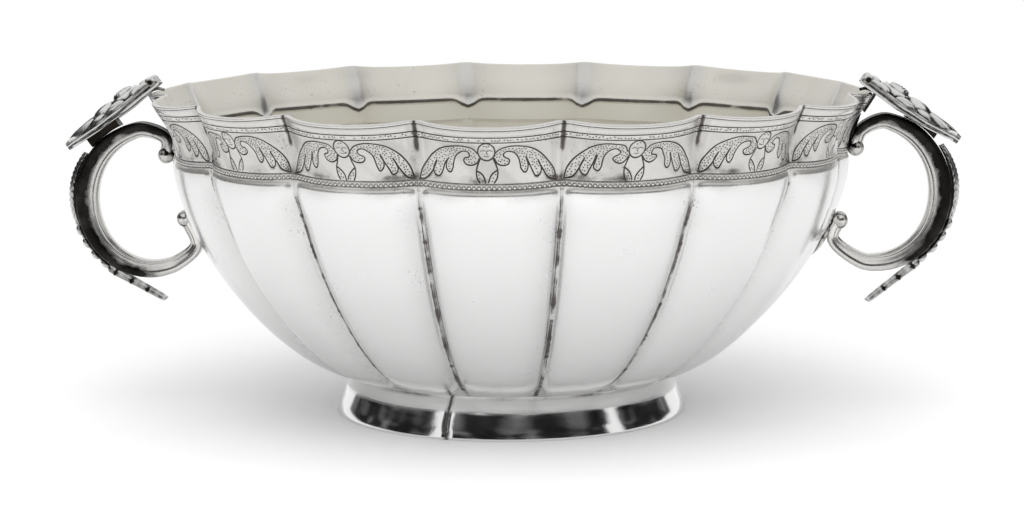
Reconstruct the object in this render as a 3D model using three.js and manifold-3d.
// A two-handled silver bowl: a shell raised from sheet and chased into sixteen lobes, a splayed foot
// and two cast scroll handles with leaf-shaped thumb plaques.
// Millimetres, +Z up. The origin is the middle of the foot's resting face, and the handles lie on X.

import * as THREE from 'three';
import { mergeVertices } from 'three/addons/utils/BufferGeometryUtils.js';
import Module from 'manifold-3d';

const wasm = await Module();
wasm.setup();

// Clearance between pieces that are soldered face to face, and how deep a casting is filed to fit its seat
const seatGap = 0.3;
const filedDepth = 0.5;

// Foot
const footRadius = 63;
const footSplay = 6;
const footHeight = 14.3;
const footThickness = 1.2;
const footTopBevel = 0.15;
const footTopRadius = footRadius - footSplay;

// Bowl: sizes over the middle of a lobe
const lobeCount = 16;
const lobeTurn = 0.6;
const sheetThickness = 1.3;
const rimRadius = 130.3;
const rimHeight = 115;
const neckFlare = 8.7;
const neckRise = 19;
const lobeStep = 0.9;
const lobeShoulder = 2;
const floorDrop = 3.7;
const neckRadius = rimRadius - neckFlare;
const neckHeight = rimHeight - neckRise;
const floorHeight = footHeight - floorDrop;

// Creases between the lobes: how deep they are pressed in, how far that lifts the rim and the foot of the
// neck there, and the flat band at their bottom
const rimCreaseDepth = 6.3;
const rimCreaseLift = 1.7;
const neckCreaseDepth = 3.1;
const neckCreaseLift = 0.9;
const bellyCreaseDepth = 6.6;
const footCreaseDepth = 1.5;
const creaseBandTop = 3.4;
const creaseBandFoot = 1.6;
const lobeFullness = 3;
const neckFullness = 2.3;

// How the outlines bend: shares of the way from start to end, across and up, of each curve's two handles
const bellyBend = { start: [0.385, 0.013], end: [0.992, 0.613] };
const neckBend = { start: [0.17, 0.52], end: [0.47, 0.57] };
const footBend = { start: [0, 0.35], end: [0.55, 0.66] };
const floorBend = { start: [0.4, 0], end: [0.73, 0.33] };

// Handle loop: an upright oval of a cast bar
const loopHalfWidth = 23.1;
const loopHalfHeight = 25.5;
const loopStandoff = 9.9;
const barWidth = 9;
const barSideDepth = 8;
const barTopDepth = 6.4;
const rootWidth = 7.2;
const rootDepth = 4.4;
const upperRootRise = 22.9;
const lowerRootDrop = 32.5;

// Curled ends of the loop
const eyeRadius = 2.5;
const eyeWidth = 8;
const upperEyeDrop = 6.6;
const lowerEyeRise = 7;

// Pads between the loop's ends and the wall of the bowl: the start is measured up from the foot of the
// neck and from the lower end of the bar
const upperPadSize = { start: 0.8, length: 11.2, width: 11, thickness: 1.1 };
const lowerPadSize = { start: -6.5, length: 12, width: 13, thickness: 1.4 };

// Clasp that hooks the plaque over the rim
const claspThickness = 1;
const claspWidth = 5.5;
const claspOverRim = 4;

// Thumb plaque, set in its own frame: x along it, away from the bowl and down, z out of its face
const plaqueLength = 42.5;
const plaqueHalfWidth = 9.5;
const plaqueThickness = 2.2;
const plaqueCrown = 1.1;
const plaqueSag = 1.4;
const plaqueLift = claspThickness + 2 * seatGap;
const collar = { place: 11.5, length: 9, width: 12.6, rise: 4.2 };
const boss = { place: 17, length: 8.4, width: 8.4, rise: 5.2 };
const dome = { place: 26, length: 11, width: 7, rise: 3.8 };
const rollRadius = 1.9;
const rollWidth = 12;
const rollRidges = 5;
const saddleAngle = 60;
const saddleLength = 8;
const saddleWidth = 6.5;

// Spine strip on the outside of the loop
const spineTopAngle = 34;
const spineEndAngle = -58;
const spineDepth = 2.3;
const spineWidth = 6.4;
const beadCount = 4;
const beadDepth = 2.7;
const beadWidth = 4.6;
const beadPitch = 5;
const tailInset = 4.3;
const tailDrop = 56.4;
const tailDepth = 2.3;
const tailWidth = 4.4;

// What differs between the two handles, which were set by hand: how far the loop's middle lies below the
// foot of the neck, the angle that the plaque slopes down at, how far it reaches in over the rim, and the
// length of the clasp's leg
const handleForms = {
  right: { loopDrop: 16.2, plaqueAngle: 34, overRim: 6.2, claspLeg: 6 },
  left: { loopDrop: 19.5, plaqueAngle: 36.2, overRim: 4.8, claspLeg: 4 },
};

const toRadians = Math.PI / 180;
const lobeAngle = 2 * Math.PI / lobeCount;
const across = new THREE.Vector3(0, 1, 0);

// Smooth step from 0 to 1
function ease(value) {
  return THREE.MathUtils.smoothstep(value, 0, 1);
}

// Keeps only the positions of a geometry, with shared corners merged
function bare(geometry) {
  const copy = geometry.index ? geometry.toNonIndexed() : geometry.clone();
  copy.deleteAttribute('normal');
  copy.deleteAttribute('uv');
  return mergeVertices(copy, 1e-4);
}

function toSolid(geometry) {
  const merged = bare(geometry);
  return new wasm.Manifold(new wasm.Mesh({
    numProp: 3,
    vertProperties: new Float32Array(merged.attributes.position.array),
    triVerts: new Uint32Array(merged.index.array),
  }));
}

function toGeometry(solid) {
  const mesh = solid.getMesh();
  const geometry = new THREE.BufferGeometry();
  geometry.setAttribute('position', new THREE.BufferAttribute(new Float32Array(mesh.vertProperties), 3));
  geometry.setIndex(new THREE.BufferAttribute(new Uint32Array(mesh.triVerts), 1));
  return geometry;
}

// Joins the bodies into one and cuts the cutters out of it
function join(bodies, cutters = []) {
  const [first, ...others] = bodies.map(toSolid);
  const whole = others.reduce((sum, solid) => sum.add(solid), first);
  return toGeometry(cutters.map(toSolid).reduce((rest, cutter) => rest.subtract(cutter), whole));
}

// Skins rings of equal count into one closed body. The rings follow each other along the body, and each
// runs anticlockwise seen from the end that the body grows towards.
function skin(rings) {
  const count = rings[0].length;
  const points = rings.flat();
  const index = [];
  for (let i = 0; i < rings.length - 1; i += 1) {
    for (let j = 0; j < count; j += 1) {
      const a = i * count + j;
      const b = i * count + (j + 1) % count;
      index.push(a, b, b + count, a, b + count, a + count);
    }
  }
  const middleOf = (ring) => ring
    .reduce((sum, point) => sum.add(point), new THREE.Vector3())
    .divideScalar(count);
  const start = points.push(middleOf(rings[0])) - 1;
  const end = points.push(middleOf(rings[rings.length - 1])) - 1;
  const last = (rings.length - 1) * count;
  for (let j = 0; j < count; j += 1) {
    const next = (j + 1) % count;
    index.push(start, next, j, end, last + j, last + next);
  }
  const geometry = new THREE.BufferGeometry().setFromPoints(points);
  geometry.setIndex(index);
  return geometry;
}

// A curve between two points of an outline, with its handles at the given shares of the way
function bentCurve(from, to, bend) {
  const handle = ([wide, high]) => new THREE.Vector2(
    THREE.MathUtils.lerp(from.x, to.x, wide),
    THREE.MathUtils.lerp(from.y, to.y, high),
  );
  return new THREE.CubicBezierCurve(from, handle(bend.start), handle(bend.end), to);
}

// The meridian over the middle of a lobe: x is the radius, y the height
const footJoint = new THREE.Vector2(footTopRadius, footHeight + seatGap);
const lobeTop = new THREE.Vector2(neckRadius + lobeStep, neckHeight - lobeShoulder);
const neckFoot = new THREE.Vector2(neckRadius, neckHeight);
const floorCurve = bentCurve(new THREE.Vector2(0, floorHeight), footJoint, floorBend);
const bodyCurve = bentCurve(footJoint, lobeTop, bellyBend);
const neckCurve = bentCurve(neckFoot, new THREE.Vector2(rimRadius, rimHeight), neckBend);

// A point of a meridian curve with the direction that faces out of the bowl
function station(curve, t) {
  const point = curve.getPoint(t);
  const along = curve.getTangent(t);
  return { point, out: new THREE.Vector2(along.y, -along.x) };
}

// A row of the floor, which has no creases
function floorRow(t) {
  const press = new THREE.Vector2();
  return { ...station(floorCurve, t), press, band: creaseBandFoot, fullness: lobeFullness };
}

// A row of the lobed body. The creases start shallow at the foot, deepen over the belly and ease off
// towards the neck.
function bodyRow(t) {
  const row = station(bodyCurve, t);
  const deepestAt = 0.75;
  const easesOffFrom = 0.8;
  const belly = THREE.MathUtils.lerp(footCreaseDepth, bellyCreaseDepth, ease(t / deepestAt));
  const fade = ease((t - easesOffFrom) / (1 - easesOffFrom));
  const depth = THREE.MathUtils.lerp(belly, neckCreaseDepth + lobeStep, fade);
  const band = THREE.MathUtils.lerp(creaseBandFoot, creaseBandTop, t);
  return { ...row, press: row.out.clone().multiplyScalar(-depth), band, fullness: lobeFullness };
}

// A row of the flared neck, whose creases deepen to the rim and lift it
function neckRow(t) {
  const depth = THREE.MathUtils.lerp(neckCreaseDepth, rimCreaseDepth, t);
  const lift = THREE.MathUtils.lerp(neckCreaseLift, rimCreaseLift, t);
  const press = new THREE.Vector2(-depth, lift);
  return { ...station(neckCurve, t), press, band: creaseBandTop, fullness: neckFullness };
}

// The rows of the shell from the middle of its floor to the rim. Each has its place on the meridian, the
// way its creases are pressed, the width of their band and how full the lobes are between them.
function shellRows() {
  return [
    ...[0.45, 1].map(floorRow),
    ...[0.08, 0.18, 0.3, 0.43, 0.57, 0.71, 0.86, 1].map(bodyRow),
    ...[0, 0.35, 0.68, 1].map(neckRow),
  ];
}

// Where the columns of points lie between the two edges of a lobe
const lobeColumns = [0, 0.14, 0.3, 0.5, 0.7, 0.86, 1];

// One row of the shell's outer face. The lobes are set by eye, so they stand a little turned from the
// handles.
function shellRing(row) {
  const halfBand = row.band / 2 / row.point.x;
  const ring = [];
  for (let lobe = 0; lobe < lobeCount; lobe += 1) {
    for (const column of lobeColumns) {
      const side = 2 * column - 1;
      const angle = lobe * lobeAngle + side * (lobeAngle / 2 - halfBand) + lobeTurn * toRadians;
      const pressed = Math.abs(side) ** row.fullness;
      const radius = row.point.x + row.press.x * pressed;
      const height = row.point.y + row.press.y * pressed;
      ring.push(new THREE.Vector3(radius * Math.cos(angle), radius * Math.sin(angle), height));
    }
  }
  return ring;
}

// The shell's inner face: every point of the outer one moved in by the thickness of the sheet
function innerRings(rings) {
  const count = rings[0].length;
  return rings.map((ring, i) => ring.map((point, j) => {
    const above = rings[Math.min(i + 1, rings.length - 1)][j];
    const below = rings[Math.max(i - 1, 0)][j];
    const ahead = ring[(j + 1) % count];
    const behind = ring[(j + count - 1) % count];
    const normal = ahead.clone().sub(behind).cross(above.clone().sub(below)).normalize();
    return point.clone().addScaledVector(normal, -sheetThickness);
  }));
}

// The bowl: outer rows up to the rim, then the inner rows back down to the floor
function bowlBody() {
  const outer = shellRows().map(shellRing);
  const inner = innerRings(outer).reverse();
  return skin([...outer, ...inner]);
}

// The foot: a bent strip, upright at the floor and splayed in under the bowl
function footRing() {
  const base = new THREE.Vector2(footRadius, 0);
  const top = new THREE.Vector2(footTopRadius, footHeight);
  const outlineSteps = 4;
  const segments = 64;
  const outer = bentCurve(base, top, footBend).getPoints(outlineSteps);
  const inner = outer.map((point) => new THREE.Vector2(point.x - footThickness, point.y)).reverse();
  inner[0].y -= footTopBevel;
  return new THREE.LatheGeometry([...outer, ...inner, outer[0]], segments).rotateX(Math.PI / 2);
}

// The wall of the bowl beside a handle, in the handle's plane, at a given height
function wallAt(height) {
  const curve = height < neckHeight ? bodyCurve : neckCurve;
  let low = 0;
  let high = 1;
  const halvings = 40;
  for (let i = 0; i < halvings; i += 1) {
    const middle = (low + high) / 2;
    if (curve.getPoint(middle).y < height) low = middle;
    else high = middle;
  }
  const { point, out } = station(curve, low);
  return { point: new THREE.Vector3(point.x, 0, point.y), out: new THREE.Vector3(out.x, 0, out.y) };
}

// A point beside the wall at a given height, moved out by a distance
function besideWall(height, distance) {
  const wall = wallAt(height);
  return wall.point.addScaledVector(wall.out, distance);
}

// A thin leaf-shaped plate that follows the wall. As the cutter for the bar that ends on it, it is grown
// on all sides and sunk into the wall.
function wallPad({ bottom, top, width, thickness }, grow = 0, sink = 0) {
  const rings = [];
  const steps = 8;
  const tipShare = 0.25;
  const edgeShare = 0.35;
  for (let i = 0; i <= steps; i += 1) {
    const arch = Math.sin(Math.PI * i / steps);
    const wall = wallAt(THREE.MathUtils.lerp(bottom, top, i / steps));
    const half = grow + width / 2 * Math.max(arch, tipShare);
    const rise = grow + thickness * Math.max(Math.sqrt(arch), edgeShare);
    const halfLobe = wall.point.x * Math.sin(lobeAngle / 2);
    const place = (share, height) => {
      const y = share * half;
      const drop = y * y / 2 / wall.point.x + bellyCreaseDepth * Math.abs(y / halfLobe) ** lobeFullness;
      return wall.point.clone()
        .addScaledVector(wall.out, seatGap + height - drop)
        .addScaledVector(across, y);
    };
    rings.push([
      place(0, -sink), place(-1, -sink), place(-1, edgeShare * rise), place(-0.6, rise),
      place(0, rise), place(0.6, rise), place(1, edgeShare * rise), place(1, -sink),
    ]);
  }
  return skin(rings);
}

const lowerRootHeight = neckHeight - lowerRootDrop;
const upperPad = padAt(neckHeight, upperPadSize);
const lowerPad = padAt(lowerRootHeight, lowerPadSize);
const loopCentreRadius = neckRadius + loopStandoff;

// The place of a pad on the wall
function padAt(height, { start, length, width, thickness }) {
  return { bottom: height + start, top: height + start + length, width, thickness };
}

// The height of the middle of a handle's loop
function loopCentre(form) {
  return neckHeight - form.loopDrop;
}

// A point of the oval that the bar's middle follows, by its angle from the outermost point
function ovalPoint(form, degrees) {
  const angle = degrees * toRadians;
  return new THREE.Vector3(
    loopCentreRadius + loopHalfWidth * Math.cos(angle),
    0,
    loopCentre(form) + loopHalfHeight * Math.sin(angle),
  );
}

// The direction that faces out of the oval at that angle
function ovalOut(degrees) {
  const angle = degrees * toRadians;
  return new THREE.Vector3(
    loopHalfHeight * Math.cos(angle),
    0,
    loopHalfWidth * Math.sin(angle),
  ).normalize();
}

// How deep the bar is beside a point of the oval: most at the side, least at the top and the bottom
function barDepthAt(form, point) {
  const wide = (point.x - loopCentreRadius) / loopHalfWidth;
  const high = (point.z - loopCentre(form)) / loopHalfHeight;
  const side = Math.max(0, wide) / Math.hypot(wide, high);
  return THREE.MathUtils.lerp(barTopDepth, barSideDepth, side * side);
}

// A point on the outer face of the bar, or clear of it by a gap
function outsideBar(form, degrees, gap) {
  const middle = ovalPoint(form, degrees);
  const reach = barDepthAt(form, middle) / 2 + gap;
  return middle.addScaledVector(ovalOut(degrees), reach);
}

// Sweeps a section along a path in the handle's plane. The section's x lies across the handle and its y
// faces away from the inside of the curve; sizeAt gives the width and depth at a share of the path.
function sweep(path, steps, section, sizeAt) {
  const rings = [];
  for (let i = 0; i <= steps; i += 1) {
    const t = i / steps;
    const middle = path.getPointAt(t);
    const along = path.getTangentAt(t);
    const out = new THREE.Vector3(along.z, 0, -along.x);
    const size = sizeAt(t, middle);
    rings.push(section.map(([x, y]) => middle.clone()
      .addScaledVector(out, y * size.depth)
      .addScaledVector(across, x * size.width)));
  }
  return skin(rings);
}

// The bar's section: a round moulding inside, hollow flanks and a flat outer face
const barSection = [
  [0.42, 0.5], [0.5, 0.36], [0.47, 0.16], [0.36, -0.06], [0.31, -0.28], [0.17, -0.46],
  [-0.17, -0.46], [-0.31, -0.28], [-0.36, -0.06], [-0.47, 0.16], [-0.5, 0.36], [-0.42, 0.5],
];

// A flat strip with a rounded back
const stripSection = [
  [-0.5, 0], [-0.46, 0.45], [-0.28, 0.85], [0, 1], [0.28, 0.85], [0.46, 0.45], [0.5, 0],
];

const plateSection = [[-0.5, -0.5], [-0.5, 0.5], [0.5, 0.5], [0.5, -0.5]];

// The curled end of the bar: a short drum across the handle with rounded faces
function scrollEye(centre) {
  const half = eyeWidth / 2;
  const segments = 12;
  const outline = [
    [0, -half], [0.6 * eyeRadius, -0.95 * half], [eyeRadius, -0.75 * half],
    [eyeRadius, 0.75 * half], [0.6 * eyeRadius, 0.95 * half], [0, half],
  ].map(([x, y]) => new THREE.Vector2(x, y));
  return new THREE.LatheGeometry(outline, segments).translate(centre.x, centre.y, centre.z);
}

// What the end of the bar is filed away by: its pad with a gap, and the wall around the pad
function seatCutters(pad) {
  const sink = rootDepth;
  const around = {
    bottom: pad.bottom - barWidth / 2,
    top: pad.top + barWidth / 2,
    width: 2 * barWidth,
    thickness: 0,
  };
  return [wallPad(pad, seatGap, sink), wallPad(around, 0, sink)];
}

// The cast loop, from its lower curl over the oval to its upper curl, filed to fit the two pads
function handleLoop(form) {
  const rootReach = (pad) => seatGap + pad.thickness + seatGap - filedDepth + rootDepth / 2;
  const upperRootHeight = loopCentre(form) + upperRootRise;
  const upperRoot = besideWall(upperRootHeight, rootReach(upperPad));
  const lowerRoot = besideWall(lowerRootHeight, rootReach(lowerPad));
  const upperEye = besideWall(upperRootHeight - upperEyeDrop, seatGap + eyeRadius);
  const lowerEye = besideWall(lowerRootHeight + lowerEyeRise, seatGap + eyeRadius);
  const oval = [];
  const ovalStart = -106;
  const ovalEnd = 84;
  const ovalSpans = 14;
  for (let i = 0; i <= ovalSpans; i += 1) {
    oval.push(ovalPoint(form, THREE.MathUtils.lerp(ovalStart, ovalEnd, i / ovalSpans)));
  }
  const path = new THREE.CatmullRomCurve3([lowerEye, lowerRoot, ...oval, upperRoot, upperEye]);
  const steps = 38;
  const lowerTaper = 0.3;
  const upperTaper = 0.24;
  const bar = sweep(path, steps, barSection, (t, middle) => {
    const full = ease(t / lowerTaper) * ease((1 - t) / upperTaper);
    return {
      width: THREE.MathUtils.lerp(rootWidth, barWidth, full),
      depth: THREE.MathUtils.lerp(rootDepth, barDepthAt(form, middle), full),
    };
  });
  const cutters = [upperPad, lowerPad].flatMap(seatCutters);
  return join([bar, scrollEye(upperEye), scrollEye(lowerEye)], cutters);
}

// The plaque's own frame: its inner end lies over the rim, and the middle of its underside is at z = 0
function plaqueFrame(form) {
  const tilt = form.plaqueAngle * toRadians;
  const along = new THREE.Vector3(Math.cos(tilt), 0, -Math.sin(tilt));
  const up = new THREE.Vector3(Math.sin(tilt), 0, Math.cos(tilt));
  const origin = new THREE.Vector3(rimRadius, 0, rimHeight)
    .addScaledVector(along, -form.overRim)
    .addScaledVector(up, plaqueLift);
  return { along, up, origin };
}

// The plaque's plate: a leaf with a crowned face and sides that droop
function plaqueLeaf() {
  const rings = [];
  const steps = 12;
  const endShare = 0.22;
  const tipShare = 0.14;
  const edgeThinning = 0.35;
  for (let i = 0; i <= steps; i += 1) {
    const t = i / steps;
    const x = t * plaqueLength;
    const swell = Math.sin(Math.PI * THREE.MathUtils.lerp(endShare, 1, t) ** 1.25);
    const half = plaqueHalfWidth * Math.max(swell, tipShare);
    const thick = plaqueThickness * (1 - edgeThinning * t);
    const crown = thick + plaqueCrown * swell;
    const sag = plaqueSag * swell;
    const outline = [
      [-1, -sag], [-0.45, 0], [0.45, 0], [1, -sag], [1, thick - sag],
      [0.55, crown - 0.3 * sag], [0, crown], [-0.55, crown - 0.3 * sag], [-1, thick - sag],
    ];
    rings.push(outline.map(([side, height]) => new THREE.Vector3(x, side * half, height)));
  }
  return skin(rings);
}

// A rounded swelling on the plaque's face, with its flat foot inside the plate
function plaqueDome({ place, length, width, rise }) {
  const outline = [new THREE.Vector2(0, 0)];
  const steps = 4;
  const segments = 12;
  for (let i = 0; i <= steps; i += 1) {
    const angle = i / steps * Math.PI / 2;
    outline.push(new THREE.Vector2(Math.cos(angle), Math.sin(angle)));
  }
  const foot = plaqueThickness / 2;
  return new THREE.LatheGeometry(outline, segments)
    .rotateX(Math.PI / 2)
    .scale(length / 2, width / 2, rise - foot)
    .translate(place, 0, foot);
}

// The ridged roll at the plaque's inner end, across the handle
function plaqueRoll() {
  const outline = [new THREE.Vector2(0, -rollWidth / 2)];
  const groove = 0.86;
  const segments = 10;
  for (let i = 0; i <= 2 * rollRidges; i += 1) {
    const radius = rollRadius * (i % 2 === 1 ? 1 : groove);
    outline.push(new THREE.Vector2(radius, rollWidth * (i / (2 * rollRidges) - 0.5)));
  }
  outline.push(new THREE.Vector2(0, rollWidth / 2));
  return new THREE.LatheGeometry(outline, segments).translate(rollRadius, 0, rollRadius);
}

// The block under the plaque that sits on the loop's outer face
function plaqueSaddle(form, frame) {
  const seat = (angle) => {
    const offset = outsideBar(form, angle, seatGap).sub(frame.origin);
    return new THREE.Vector2(offset.dot(frame.along), offset.dot(frame.up));
  };
  const spread = saddleLength / 2 / loopHalfHeight / toRadians;
  const seats = [-1, -0.5, 0, 0.5, 1].map((share) => seat(saddleAngle - share * spread));
  const shape = new THREE.Shape();
  shape.moveTo(seats[0].x, plaqueThickness / 2);
  for (const point of seats) shape.lineTo(point.x, point.y);
  shape.lineTo(seats[seats.length - 1].x, plaqueThickness / 2);
  const block = new THREE.ExtrudeGeometry(shape, { depth: saddleWidth, bevelEnabled: false });
  return block.translate(0, 0, -saddleWidth / 2).rotateX(Math.PI / 2);
}

// The plaque, built with x along it and z out of its face, then moved to its place
function thumbPlaque(form) {
  const frame = plaqueFrame(form);
  const swellings = [collar, boss, dome].map(plaqueDome);
  const bodies = [plaqueLeaf(), plaqueRoll(), plaqueSaddle(form, frame), ...swellings];
  const place = new THREE.Matrix4().makeBasis(frame.along, across, frame.up).setPosition(frame.origin);
  return join(bodies).applyMatrix4(place);
}

// The clasp: a leg on the outside of the neck that bends over the rim's edge, under the plaque, and ends
// in a pointed tongue inside the rim
function rimClasp(form) {
  const { up } = plaqueFrame(form);
  const reach = seatGap + claspThickness / 2;
  const rim = wallAt(rimHeight);
  const legSpans = 3;
  const legFoot = rimHeight - form.claspLeg;
  const points = [];
  for (let i = 0; i < legSpans; i += 1) {
    points.push(besideWall(THREE.MathUtils.lerp(legFoot, rimHeight, i / legSpans), reach));
  }
  const corner = rim.out.clone().add(up).normalize();
  points.push(rim.point.clone().addScaledVector(rim.out, reach));
  points.push(rim.point.clone().addScaledVector(corner, reach));
  points.push(rim.point.clone().addScaledVector(up, reach));
  const inner = rim.point.clone().addScaledVector(rim.out, -sheetThickness).addScaledVector(up, reach);
  points.push(inner);
  points.push(inner.clone().add(new THREE.Vector3(-claspOverRim / 2, 0, claspThickness / 2)));
  points.push(inner.clone().add(new THREE.Vector3(-claspOverRim, 0, 0)));
  const path = new THREE.CatmullRomCurve3(points);
  const tongueShare = claspOverRim / path.getLength();
  const tipShare = 0.12;
  const steps = 26;
  return sweep(path, steps, plateSection, (t) => {
    const pointed = Math.min(1, (1 - t) / tongueShare);
    return { width: claspWidth * THREE.MathUtils.lerp(tipShare, 1, pointed), depth: claspThickness };
  });
}

// The strip on the outside of the loop: a long scale, a row of beads and a spur that leaves the loop
function spineStrip(form) {
  const points = [];
  const arcSteps = 10;
  for (let i = 0; i <= arcSteps; i += 1) {
    const angle = THREE.MathUtils.lerp(spineEndAngle, spineTopAngle, i / arcSteps);
    points.push(outsideBar(form, angle, seatGap));
  }
  const tip = new THREE.Vector3(loopCentreRadius - tailInset, 0, neckHeight - tailDrop);
  const tailLength = tip.distanceTo(points[0]);
  points.unshift(tip, tip.clone().lerp(points[0], 0.5));
  const path = new THREE.CatmullRomCurve3(points);
  const total = path.getLength();
  const tailShare = tailLength / total;
  const beadShare = beadCount * beadPitch / total;
  const steps = 48;
  return sweep(path, steps, stripSection, (t) => {
    if (t < tailShare) return tailSize(t / tailShare);
    if (t < tailShare + beadShare) return beadSize((t - tailShare) / beadShare);
    return scaleSize((t - tailShare - beadShare) / (1 - tailShare - beadShare));
  });
}

// The spur swells from its tip to where it leaves the loop
function tailSize(share) {
  const tipShare = 0.16;
  const tip = THREE.MathUtils.lerp(0.35, 1, Math.min(1, share / tipShare));
  const swell = THREE.MathUtils.lerp(0.7, 1, share);
  return { width: tailWidth * tip * swell, depth: tailDepth * swell };
}

// The beads swell and narrow one after another
function beadSize(share) {
  const round = Math.abs(Math.sin(Math.PI * share * beadCount));
  return {
    width: beadWidth * THREE.MathUtils.lerp(0.6, 1, round),
    depth: beadDepth * THREE.MathUtils.lerp(0.5, 1, round),
  };
}

// The long scale is widest in its middle and narrow at both ends
function scaleSize(share) {
  const swell = Math.sin(Math.PI * THREE.MathUtils.lerp(0.16, 0.88, share));
  return { width: spineWidth * swell, depth: spineDepth * THREE.MathUtils.lerp(0.55, 1, swell) };
}

// Finishes: the bowl is pale and bright, the cast handles are darker with age in their hollows
const bowlSilver = { color: 0xdcdcda, roughness: 0.24, metalness: 1 };
const footSilver = { color: 0xd2d3d4, roughness: 0.16, metalness: 1 };
const castSilver = { color: 0xb4b2ae, roughness: 0.22, metalness: 1 };
const carvedSilver = { color: 0xa3a19c, roughness: 0.32, metalness: 1 };

function piece(name, geometry, finish) {
  const mesh = new THREE.Mesh(geometry, new THREE.MeshStandardMaterial(finish));
  mesh.name = name;
  return mesh;
}

// One handle with everything that carries it, built on the +X side
function handle(side) {
  const form = handleForms[side];
  const group = new THREE.Group();
  group.add(piece(`${side}_handle_loop`, handleLoop(form), castSilver));
  group.add(piece(`${side}_thumb_plaque`, thumbPlaque(form), carvedSilver));
  group.add(piece(`${side}_spine_strip`, spineStrip(form), carvedSilver));
  group.add(piece(`${side}_rim_clasp`, rimClasp(form), carvedSilver));
  group.add(piece(`${side}_upper_pad`, wallPad(upperPad), castSilver));
  group.add(piece(`${side}_lower_pad`, wallPad(lowerPad), castSilver));
  return group;
}

const bowl = new THREE.Group();
bowl.add(piece('bowl_body', bowlBody(), bowlSilver));
bowl.add(piece('foot_ring', footRing(), footSilver));
bowl.add(handle('right'));
const leftHandle = handle('left');
leftHandle.rotation.z = Math.PI;
bowl.add(leftHandle);

export default bowl;
